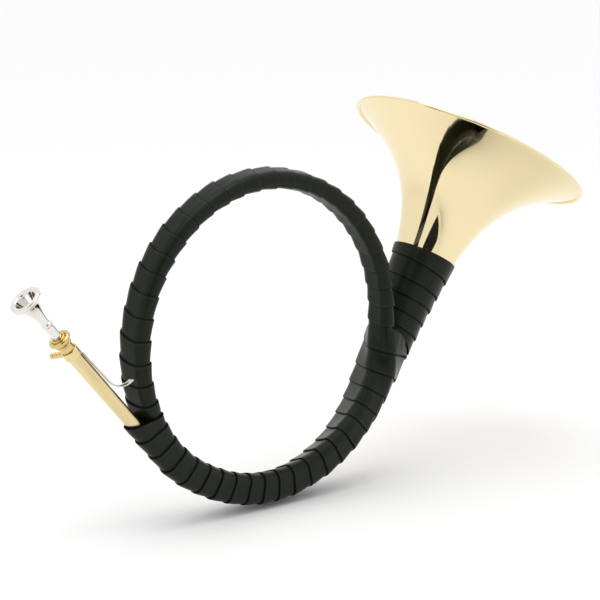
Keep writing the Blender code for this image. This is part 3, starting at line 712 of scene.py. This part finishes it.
# %% Wind the bell branch
BRANCH_SIDES = 80
BRANCH_LAPS = 6
BRANCH_START = 36.0 * MM
BELL_BARE_LENGTH = 88.0 * MM
BRANCH_LENGTH = BELL_LENGTH - BELL_BARE_LENGTH - BRANCH_START
BRANCH_EDGE = 37.0 * MM
BRANCH_SLANT = 10.0 * MM


def branch_point(share, side, extra):
    """The branch is round, so its sections are plain circles on the bell's axis."""
    along = BRANCH_START + BRANCH_LENGTH * share
    way = 2.0 * math.pi * side / BRANCH_SIDES
    size = bell_radius(BELL_LENGTH - along) + extra
    return BELL_FRAME @ Vector((size * math.sin(way), size * math.cos(way), along))


def branch_reach(side):
    """The start lies further up on the loop's side."""
    from_outside = min(side, BRANCH_SIDES - side) / BRANCH_SIDES
    edge = BRANCH_EDGE + BRANCH_SLANT * ease(0.10, 0.34, from_outside)
    return (edge - BRANCH_START) / BRANCH_LENGTH, 1.0


branch_leather = wound_leather("branch_leather", branch_point, BRANCH_LAPS, BRANCH_SIDES, seed=9.0, fall=0.45,
                               last_lap=1.4, reach=branch_reach)
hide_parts("leather_bell_wrap", "leather_bell_collar")

# %% [markdown]
# A turned piece starts as a circle and grows ring by ring: extrude, then scale, as a spinner works sheet
# metal down a form. Its profile is a list of (radius, height). Corners are rounded a little first, because
# a sharp edge never shows on real metal.

# %% Profiles for turned pieces
NEARLY_STRAIGHT = math.radians(165.0)


def rounded(profile, size, steps=3):
    """Each corner of a closed profile becomes a small arc."""
    points = [Vector(p) for p in profile]
    result = []
    for i, corner in enumerate(points):
        before = points[i - 1] - corner
        after = points[(i + 1) % len(points)] - corner
        reach = min(size, before.length * 0.45, after.length * 0.45)
        bend = before.angle(after, math.pi)
        if bend > NEARLY_STRAIGHT:
            result.append(tuple(corner))
            continue
        start = corner + before.normalized() * reach
        end = corner + after.normalized() * reach
        for k in range(steps + 1):
            t = k / steps
            result.append(tuple(start * (1 - t) ** 2 + corner * 2 * t * (1 - t) + end * t ** 2))
    return result


def tube_profile(outer, bore, low, high):
    """The wall of a plain tube."""
    return [(outer, high), (outer, low), (bore, low), (bore, high)]


def wire_profile(ring_radius, wire_radius, steps):
    """The round section of a ring of wire."""
    ways = [2.0 * math.pi * i / steps for i in range(steps)]
    return [(ring_radius + wire_radius * math.cos(way), -wire_radius * math.sin(way)) for way in ways]


# %% [markdown]
# One helper makes every turned piece: a circle, an extrusion and a scaling for each point of the profile, and
# a weld where the last ring meets the first. Then the place is applied to the mesh, so that the object stays
# at the origin as the CAD's parts do.

# %% Grow, place and hand over a turned piece
WELD_DISTANCE = 0.004 * MM
SMOOTH_EDGE = math.radians(40.0)


def settle(piece, place, finish):
    """Apply a mesh's place, smooth it and give it its material."""
    piece.matrix_world = place
    bpy.ops.object.transform_apply(location=True, rotation=True, scale=True)
    bpy.ops.object.shade_smooth_by_angle(angle=SMOOTH_EDGE)
    piece.data.materials.clear()
    piece.data.materials.append(finish.material)


def turned(name, profile, segments, place, finish):
    """Grow a turned piece ring by ring along its closed profile and put it in place."""
    bpy.ops.object.select_all(action='DESELECT')
    radius, height = profile[0]
    bpy.ops.mesh.primitive_circle_add(vertices=segments, radius=radius, location=(0.0, 0.0, height))
    piece = bpy.context.object
    piece.name = name
    piece.data.name = name
    bpy.ops.object.transform_apply(location=True, rotation=True, scale=True)
    bpy.ops.object.mode_set(mode='EDIT')
    bpy.ops.mesh.select_all(action='SELECT')
    for new_radius, new_height in profile[1:] + [profile[0]]:
        bpy.ops.mesh.extrude_region_move(TRANSFORM_OT_translate={"value": (0.0, 0.0, new_height - height)})
        scale = new_radius / radius
        bpy.ops.transform.resize(value=(scale, scale, 1.0), center_override=(0.0, 0.0, new_height))
        radius, height = new_radius, new_height
    bpy.ops.mesh.select_all(action='SELECT')
    bpy.ops.mesh.remove_doubles(threshold=WELD_DISTANCE)
    bpy.ops.mesh.normals_make_consistent(inside=False)
    bpy.ops.object.mode_set(mode='OBJECT')
    settle(piece, place, finish)
    return piece


def finish_piece(piece, body, slot, *nodes):
    """Let the piece ride on its body and stand for its CAD nodes."""
    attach(piece, body)
    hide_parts(*nodes)
    print(piece.name, "has", len(piece.data.polygons), "faces")


# %% [markdown]
# The bell is one sheet of brass: a long slow cone that opens late into a wide mouth, with a wire rolled into
# its rim. Its profile is sampled closely near the rim, where it bends most, so that reflections run smoothly.

# %% The bell and its rim
BELL_SEGMENTS = 144
BELL_STEPS = 55
CLOSER_AT_RIM = 1.6
RIM_WIRE_RADIUS = 1.3 * MM
RIM_WIRE_GAP = TUBE_GAP * 0.2

outer_side = []
for i in range(BELL_STEPS + 1):
    from_rim = BELL_LENGTH * (i / BELL_STEPS) ** CLOSER_AT_RIM
    outer_side.append((bell_radius(from_rim), BELL_LENGTH - from_rim))
inner_side = [(radius - BELL_WALL, height) for radius, height in reversed(outer_side)]
bell = turned("bell_sheet", outer_side + inner_side, BELL_SEGMENTS, BELL_FRAME, bell_brass)
finish_piece(bell, "horn", "polished_brass", "bell", "bell_branch_tube")

rim_wire = wire_profile(BELL_RIM_RADIUS + RIM_WIRE_GAP + RIM_WIRE_RADIUS, RIM_WIRE_RADIUS, 20)
rim = turned("bell_rolled_rim", rim_wire, BELL_SEGMENTS, further(BELL_FRAME, BELL_LENGTH), bell_brass)
finish_piece(rim, "horn", "polished_brass", "bell_rim_wire")

# %% [markdown]
# The tuning slide is plain tube: a fixed outer one, whose lower end goes under the leather, and a thinner one
# that slides in it and carries the receiver. A turned collar with a well rounded edge closes the outer tube's
# top.

# %% The slide's tubes and collar
PIPE_SEGMENTS = 64
SLIDE_START = 30.0 * MM
SLIDE_END = 118.0 * MM
SLIDE_WALL = 0.4 * MM
COLLAR_RADIUS = 6.0 * MM
COLLAR_LENGTH = 6.4 * MM
COLLAR_FIT = 0.1 * MM
INNER_TUBE_LENGTH = 52.0 * MM
INNER_TUBE_HELD = 3.3 * MM
slide_bore = SLIDE_OUTER_RADIUS - SLIDE_WALL
inner_radius = slide_bore - TUBE_GAP
socket_start = SLIDE_END + TUBE_GAP

outer_wall = rounded(tube_profile(SLIDE_OUTER_RADIUS, slide_bore, 0.0, SLIDE_END - SLIDE_START), 0.15 * MM)
outer_tube = turned("outer_tube", outer_wall, PIPE_SEGMENTS, further(PIPE_FRAME, SLIDE_START), drawn_brass)
finish_piece(outer_tube, "horn", "slide_brass", "outer_slide_tube")

collar_wall = tube_profile(COLLAR_RADIUS, SLIDE_OUTER_RADIUS + COLLAR_FIT, 0.0, COLLAR_LENGTH)
collar = turned("collar", rounded(collar_wall, 0.9 * MM, steps=5), PIPE_SEGMENTS,
                further(PIPE_FRAME, SLIDE_END - COLLAR_LENGTH), slide_brass)
finish_piece(collar, "horn", "slide_brass", "slide_collar")

inner_wall = tube_profile(inner_radius, inner_radius - SLIDE_WALL, -INNER_TUBE_LENGTH, 0.0)
inner_tube = turned("inner_tube", rounded(inner_wall, 0.12 * MM), PIPE_SEGMENTS,
                    further(PIPE_FRAME, socket_start + INNER_TUBE_HELD), slide_brass)
finish_piece(inner_tube, "tuning_slide", "slide_brass", "inner_slide_tube")

# %% [markdown]
# The receiver is a short turned socket with a bead round its middle. The inner tube is held in its lower end
# and the mouthpiece's shank in its upper end, and a thick ring sits round its mouth.

# %% The receiver's socket and ring
SOCKET_RADIUS = 5.0 * MM
SOCKET_LENGTH = 12.0 * MM
SOCKET_BORE = 3.6 * MM
SEAT_DEPTH = 3.6 * MM
BEAD_RISE = 0.9 * MM
BEAD_FOOT = 1.1 * MM
BEAD_TOP = 0.55 * MM
RING_OUT = 1.6 * MM
RING_WIRE_RADIUS = 1.45 * MM
RING_BELOW_MOUTH = 2.2 * MM
bead_at = 0.45 * SOCKET_LENGTH
seat_bore = inner_radius + TUBE_GAP
bead_radius = SOCKET_RADIUS + BEAD_RISE
socket_shape = [(SOCKET_RADIUS, SOCKET_LENGTH), (SOCKET_RADIUS, bead_at + BEAD_FOOT),
                (bead_radius, bead_at + BEAD_TOP), (bead_radius, bead_at - BEAD_TOP),
                (SOCKET_RADIUS, bead_at - BEAD_FOOT), (SOCKET_RADIUS, 0.0), (seat_bore, 0.0),
                (seat_bore, SEAT_DEPTH), (SOCKET_BORE, SEAT_DEPTH), (SOCKET_BORE, SOCKET_LENGTH)]
socket = turned("socket", rounded(socket_shape, 0.4 * MM), PIPE_SEGMENTS, further(PIPE_FRAME, socket_start),
                fitting_brass)
finish_piece(socket, "tuning_slide", "slide_brass", "receiver_socket")

thick_ring = turned("thick_ring", wire_profile(SOCKET_RADIUS + RING_OUT, RING_WIRE_RADIUS, 24), PIPE_SEGMENTS,
                    further(PIPE_FRAME, socket_start + SOCKET_LENGTH - RING_BELOW_MOUTH), fitting_brass)
finish_piece(thick_ring, "tuning_slide", "slide_brass", "receiver_ring")

# %% [markdown]
# The mouthpiece is turned from one bar and silver plated: a flat rim with a fine groove under it, a hollow
# funnel that draws in to a small bead, and a plain shank. The cup inside is a smooth funnel too. Its profile
# goes down the outside and comes back up through the cup.

# %% The mouthpiece
RIM_RADIUS = 11.4 * MM
CUP_RADIUS = 7.6 * MM
CUP_DEPTH = 14.5 * MM
CUP_EDGE = 0.7 * MM
CUP_ROUNDING = 1.2 * MM
CUP_CURVE = 0.8
CUP_STEPS = 14
THROAT_RADIUS = 1.9 * MM
THROAT_LENGTH = 3.0 * MM
FUNNEL_RADIUS = RIM_RADIUS - 2.4 * MM
FUNNEL_CURVE = 2.2
FUNNEL_STEPS = 18
NECK_RADIUS = 3.05 * MM
KNOB_LENGTH = 3.0 * MM
KNOB_HALF_LENGTH = 1.3 * MM
KNOB_FOOT_RADIUS = NECK_RADIUS + 0.25 * MM
KNOB_RISE = 0.7 * MM
KNOB_STEPS = 8
SHANK_RADIUS = 3.3 * MM
SHANK_TIP_RADIUS = 3.0 * MM
SHANK_TIP_BORE = 2.4 * MM
SHANK_SHOWN = 11.0 * MM
SHANK_HELD = 8.4 * MM
RIM_STEPS = ((0.9, 0.0), (0.25, 0.3), (0.0, 1.0), (0.0, 1.75), (0.5, 2.05), (0.5, 2.25), (0.15, 2.5),
             (0.2, 2.95), (1.0, 3.3), (1.7, 3.6))
funnel_start = -4.4 * MM
funnel_end = -23.6 * MM
shank_top = funnel_end - KNOB_LENGTH
shank_tip = shank_top - SHANK_SHOWN - SHANK_HELD
mouthpiece_at = socket_start + SOCKET_LENGTH + SHANK_SHOWN - shank_top

# The rim's steps are given in millimetres inwards from its edge and down from its face.
outside = [(CUP_RADIUS + CUP_ROUNDING, 0.0)]
outside += [(RIM_RADIUS - inwards * MM, -down * MM) for inwards, down in RIM_STEPS]
for i in range(FUNNEL_STEPS + 1):
    share = i / FUNNEL_STEPS
    outside.append((NECK_RADIUS + (FUNNEL_RADIUS - NECK_RADIUS) * (1.0 - share) ** FUNNEL_CURVE,
                    funnel_start + (funnel_end - funnel_start) * share))
for i in range(1, KNOB_STEPS):
    way = math.pi * i / KNOB_STEPS
    outside.append((KNOB_FOOT_RADIUS + KNOB_RISE * math.sin(way),
                    (funnel_end + shank_top) / 2.0 + KNOB_HALF_LENGTH * math.cos(way)))
outside += [(SHANK_RADIUS, shank_top), (SHANK_RADIUS, shank_top - SHANK_SHOWN), (SHANK_TIP_RADIUS, shank_tip),
            (SHANK_TIP_BORE, shank_tip), (THROAT_RADIUS, -CUP_DEPTH - THROAT_LENGTH)]
for i in range(CUP_STEPS + 1):
    share = i / CUP_STEPS
    outside.append((THROAT_RADIUS + (CUP_RADIUS - THROAT_RADIUS) * share ** CUP_CURVE,
                    -CUP_DEPTH + (CUP_DEPTH - CUP_EDGE) * share))
mouthpiece = turned("mouthpiece_turned", rounded(outside, 0.25 * MM), 96, further(PIPE_FRAME, mouthpiece_at),
                    silver)
finish_piece(mouthpiece, "mouthpiece", "silver_plate", "mouthpiece")

# %% [markdown]
# The lock screw sits in a low boss on the collar and has a head turned as three beads, so that fingers can
# grip it. It points to the back of the horn, and a little outwards.

# %% The lock screw and its boss
SCREW_SEGMENTS = 48
SCREW_TURN = math.radians(24.0)
SCREW_OUT = 1.8 * MM
SCREW_BEADS = 3
BEAD_LENGTH = 10.0 / 3.0 * MM
BEAD_BULGE = 0.95 * MM
BEAD_FULLNESS = 0.7
BEAD_REACH = 0.46
BEAD_STEPS = 10
WAIST_RADIUS = 1.25 * MM
SCREW_TOP = SCREW_BEADS * BEAD_LENGTH
SCREW_TIP_RADIUS = 0.6 * MM
SCREW_AXIS = 0.02 * MM
STEM_RADIUS = 1.3 * MM
STEM_LENGTH = 1.5 * MM
BOSS_RADIUS = 2.6 * MM
BOSS_BORE = 1.6 * MM
BOSS_HEIGHT = 1.2 * MM
BOSS_SINK = 0.25 * MM
screw_way = Vector((-math.cos(SCREW_TURN), -math.sin(SCREW_TURN), 0.0))
screw_side = Vector((0.0, 0.0, 1.0))
screw_frame = Matrix((screw_side, screw_way.cross(screw_side), screw_way)).transposed().to_4x4()
screw_frame.translation = (0.0, 0.0, SLIDE_END - COLLAR_LENGTH / 2.0)
screw_frame = PIPE_FRAME @ screw_frame

boss_wall = tube_profile(BOSS_RADIUS, BOSS_BORE, -BOSS_SINK, BOSS_HEIGHT)
boss = turned("boss", rounded(boss_wall, 0.3 * MM), SCREW_SEGMENTS,
              further(screw_frame, COLLAR_RADIUS + TUBE_GAP), fitting_brass)
finish_piece(boss, "horn", "slide_brass", "lock_screw_boss")

# The profile keeps off the axis by a hair, so that its rings can be scaled.
pin = [(SCREW_AXIS, SCREW_TOP), (SCREW_TIP_RADIUS, SCREW_TOP - SCREW_AXIS)]
for i in range(SCREW_BEADS):
    top = (SCREW_BEADS - i) * BEAD_LENGTH
    for k in range(1, BEAD_STEPS):
        way = math.pi * k / BEAD_STEPS
        pin.append((WAIST_RADIUS + BEAD_BULGE * math.sin(way) ** BEAD_FULLNESS,
                    top - BEAD_LENGTH * (0.5 - BEAD_REACH * math.cos(way))))
pin += [(STEM_RADIUS, 0.0), (STEM_RADIUS, -STEM_LENGTH), (SCREW_AXIS, -STEM_LENGTH)]
screw = turned("beaded_screw", pin, SCREW_SEGMENTS, further(screw_frame, COLLAR_RADIUS + SCREW_OUT),
               fitting_brass)
finish_piece(screw, "lock_screw", "slide_brass", "lock_screw")

# %% [markdown]
# The finger hook is a flat strip of plated brass. It lies along the slide tube and its free end curls away.
# Its line is a list of (distance from the pipe's axis, place along it): a straight stretch that rises a
# little, and then a quarter of an ellipse.

# %% The finger hook
HOOK_WIDTH = 4.4 * MM
HOOK_THICKNESS = 1.0 * MM
HOOK_RISE = 0.7 * MM
HOOK_REACH = 20.0 * MM
HOOK_STRAIGHT = 30.5 * MM
HOOK_CURL = 14.5 * MM
HOOK_BEVEL = 0.22 * MM
HOOK_BELOW_COLLAR = 2.6 * MM
STRAIGHT_STEPS = 12
CURL_STEPS = 18
hook_low = SLIDE_OUTER_RADIUS + TUBE_GAP
hook_end = SLIDE_END - COLLAR_LENGTH - HOOK_BELOW_COLLAR
hook_line = []
for i in range(STRAIGHT_STEPS + 1):
    share = i / STRAIGHT_STEPS
    hook_line.append((hook_low + HOOK_RISE * ease(0.1, 1.0, share), hook_end - HOOK_STRAIGHT * share))
straight_y, straight_z = hook_line[-1]
for i in range(1, CURL_STEPS + 1):
    way = 0.5 * math.pi * i / CURL_STEPS
    hook_line.append((straight_y + (HOOK_REACH - straight_y) * (1.0 - math.cos(way)),
                      straight_z - HOOK_CURL * math.sin(way)))

# %% [markdown]
# A ribbon is drawn along the line by extruding one edge from point to point, as one would bend a strip. Then
# Solidify gives it its thickness and Bevel breaks its edges.

# %% Draw the ribbon and give it its thickness
bpy.ops.object.select_all(action='DESELECT')
first_length = hook_line[0][1] - hook_line[1][1]
ribbon_start = (0.0, hook_line[0][0], hook_line[0][1] - first_length / 2.0)
bpy.ops.mesh.primitive_plane_add(size=1.0, location=ribbon_start, rotation=(math.radians(90.0), 0.0, 0.0))
hook = bpy.context.object
hook.name = "finger_strip"
hook.data.name = "finger_strip"
hook.scale = (HOOK_WIDTH, first_length, 1.0)
bpy.ops.object.transform_apply(location=True, rotation=True, scale=True)
bpy.ops.object.mode_set(mode='EDIT')
bpy.ops.mesh.select_all(action='DESELECT')
bpy.ops.mesh.select_mode(type='VERT')
work = bmesh.from_edit_mesh(hook.data)
lowest = min(vert.co.z for vert in work.verts)
for vert in work.verts:
    vert.select = vert.co.z < lowest + 0.01 * MM
work.select_flush(True)
bmesh.update_edit_mesh(hook.data)
for before, after in zip(hook_line[1:], hook_line[2:]):
    step = (0.0, after[0] - before[0], after[1] - before[1])
    bpy.ops.mesh.extrude_region_move(TRANSFORM_OT_translate={"value": step})
bpy.ops.mesh.select_all(action='SELECT')
bpy.ops.mesh.normals_make_consistent(inside=False)
bpy.ops.object.mode_set(mode='OBJECT')
thickness = hook.modifiers.new("thickness", 'SOLIDIFY')
thickness.thickness = HOOK_THICKNESS
thickness.offset = 1.0
edges = hook.modifiers.new("edges", 'BEVEL')
edges.width = HOOK_BEVEL
edges.segments = 3
edges.limit_method = 'ANGLE'
bpy.ops.object.modifier_apply(modifier="thickness")
bpy.ops.object.modifier_apply(modifier="edges")
settle(hook, PIPE_FRAME, hook_plate)
finish_piece(hook, "horn", "silver_plate", "finger_hook")

# %% [markdown]
# The tubes under the leather stay as the CAD has them. They only need their brass.

# %% Brass for the tubes that stay
hidden_tubes = ("first_turn_tube", "second_turn_tube", "bell_bow_tube", "first_seam_ferrule",
                "second_seam_ferrule")
for name in hidden_tubes:
    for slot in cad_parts[name].material_slots:
        slot.material = slide_brass.material
print("brass on", len(hidden_tubes), "tubes under the leather")

# %% [markdown]
# The camera stands where the photographer stood: in front, well to the left and a little above the loop, with
# a long lens. Its angles and its place were worked out from the round parts, which show as ellipses. Both it
# and the lights are placed by a helper that turns a placing's z away from what it looks at.

# %% Camera
CAMERA_AZIMUTH = -128.531 * DEGREE
CAMERA_RISE = 11.754 * DEGREE
CAMERA_ROLL = -0.163 * DEGREE
CAMERA_PLACE = Vector((24.8 * MM, 22.9 * MM, 1426.9 * MM))


def heading(azimuth, rise):
    """The unit vector with an azimuth and a rise over the level."""
    return Vector((math.cos(azimuth) * math.cos(rise), math.sin(azimuth) * math.cos(rise), math.sin(rise)))


def turned_away(away):
    """A placing whose z points away from what it looks at and whose x stays level."""
    side = Vector((0.0, 0.0, 1.0)).cross(away).normalized()
    return Matrix((side, away.cross(side), away)).transposed().to_4x4()


camera_data = bpy.data.cameras.new("camera")
camera_data.lens = 120.0
camera_data.sensor_width = 36.0
camera_data.sensor_fit = 'HORIZONTAL'
camera_data.clip_start = 0.05
camera_data.clip_end = 50.0
camera = bpy.data.objects.new("camera", camera_data)
bpy.context.scene.collection.objects.link(camera)
view = turned_away(heading(CAMERA_AZIMUTH, CAMERA_RISE)) @ Matrix.Rotation(CAMERA_ROLL, 4, 'Z')
view.translation = LOOP_CENTRE + view.to_3x3() @ CAMERA_PLACE
camera.matrix_world = view
bpy.context.scene.camera = camera
print("the camera stands at", [round(v, 3) for v in view.translation], "m")

# %% [markdown]
# The photograph is a product shot on pure white, with soft light from all round and no shadow to be seen. A
# polished bell shows its surroundings, so the studio matters as much as the brass. The world is a white tent,
# and the floor under the horn is white too, with only the horn's soft shadow on it.

# %% White world and floor
bpy.context.scene.view_settings.view_transform = 'Standard'
world = bpy.data.worlds.new("studio")
bpy.context.scene.world = world
world.use_nodes = True
background = world.node_tree.nodes["Background"]
background.inputs["Color"].default_value = (1.0, 1.0, 1.0, 1.0)
background.inputs["Strength"].default_value = 1.0

FLOOR_SIZE = 12.0
FLOOR_GAP = 1.0 * MM
bpy.ops.object.select_all(action='DESELECT')
bpy.ops.mesh.primitive_plane_add(size=FLOOR_SIZE, location=(0.0, 0.0, cad_low[2] - FLOOR_GAP))
floor = bpy.context.object
floor.name = "floor"
floor.data.materials.append(Finish("white_floor", (0.97, 0.97, 0.97), roughness=0.9, metallic=0.0).material)

# %% [markdown]
# A soft lamp overhead gives the leather its sheen. A black card in front of the horn draws the dark patch in
# the bell's throat, because polished metal is only as dark as what it reflects. The camera sees neither.

# %% Black card and soft lamp
STUDIO_RISE = 12.0
card_finish = Finish("black_card", (0.004, 0.004, 0.004), roughness=0.9, metallic=0.0)


def beside_camera(degrees_right, degrees_up, distance):
    """A placing right of the camera and above it that faces the loop's centre."""
    azimuth = math.atan2(view.translation.y, view.translation.x) + math.radians(degrees_right)
    away = heading(azimuth, math.radians(STUDIO_RISE + degrees_up))
    placed = turned_away(away)
    placed.translation = LOOP_CENTRE + distance * away
    return placed


def card(name, degrees_right, degrees_up, width, height, distance=1.7):
    """A black card that shows only in reflections."""
    bpy.ops.mesh.primitive_plane_add(size=1.0)
    piece = bpy.context.object
    piece.name = name
    piece.scale = (width, height, 1.0)
    bpy.ops.object.transform_apply(location=False, rotation=False, scale=True)
    piece.matrix_world = beside_camera(degrees_right, degrees_up, distance)
    piece.data.materials.append(card_finish.material)
    piece.visible_camera = False
    piece.visible_shadow = False


def soft_lamp(name, degrees_right, degrees_up, size, power, distance=1.5):
    """A large round lamp, for light without hard edges."""
    data = bpy.data.lights.new(name, 'AREA')
    data.shape = 'DISK'
    data.size = size
    data.energy = power
    lamp = bpy.data.objects.new(name, data)
    bpy.context.scene.collection.objects.link(lamp)
    lamp.matrix_world = beside_camera(degrees_right, degrees_up, distance)
    lamp.visible_camera = False


card("front_card", degrees_right=0.0, degrees_up=8.0, width=1.1, height=1.3)
soft_lamp("top_lamp", degrees_right=-20.0, degrees_up=70.0, size=1.2, power=6.0)
print("the studio has a floor, a card and a lamp")
